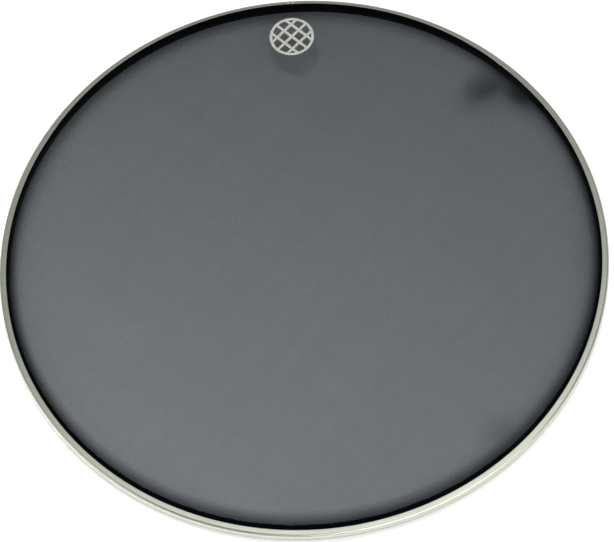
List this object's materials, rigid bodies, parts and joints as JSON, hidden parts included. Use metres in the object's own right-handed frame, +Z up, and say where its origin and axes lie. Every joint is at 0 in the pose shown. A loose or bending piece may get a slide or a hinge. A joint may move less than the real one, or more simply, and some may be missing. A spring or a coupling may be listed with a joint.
{
  "type": "drum head",
  "caption": "Mesh drum head: an open woven membrane with a raised collar, held in a rolled aluminium hoop that drops over a drum shell.",
  "frame": {"origin": "on the head's axis, on the plane that the hoop's foot stands on", "axes": "+Z up the head's axis to the playing side, +Y towards the print and the hoop's weld"},
  "size_m": [0.3694, 0.3694, 0.0161],
  "materials": {
    "hoop_aluminium": "satin",
    "weld_aluminium": "ground flush",
    "ring_steel": "drawn wire",
    "mesh_cloth": "woven mesh",
    "cast_resin": "cast",
    "pale_ink": "screen printed"
  },
  "bodies": {
    "root": {"hoop_channel": "hoop_aluminium", "seam_weld": "weld_aluminium", "lock_ring": "ring_steel", "mesh_membrane": "mesh_cloth", "channel_resin": "cast_resin", "printed_mark": "pale_ink"}
  },
  "joints": []
}
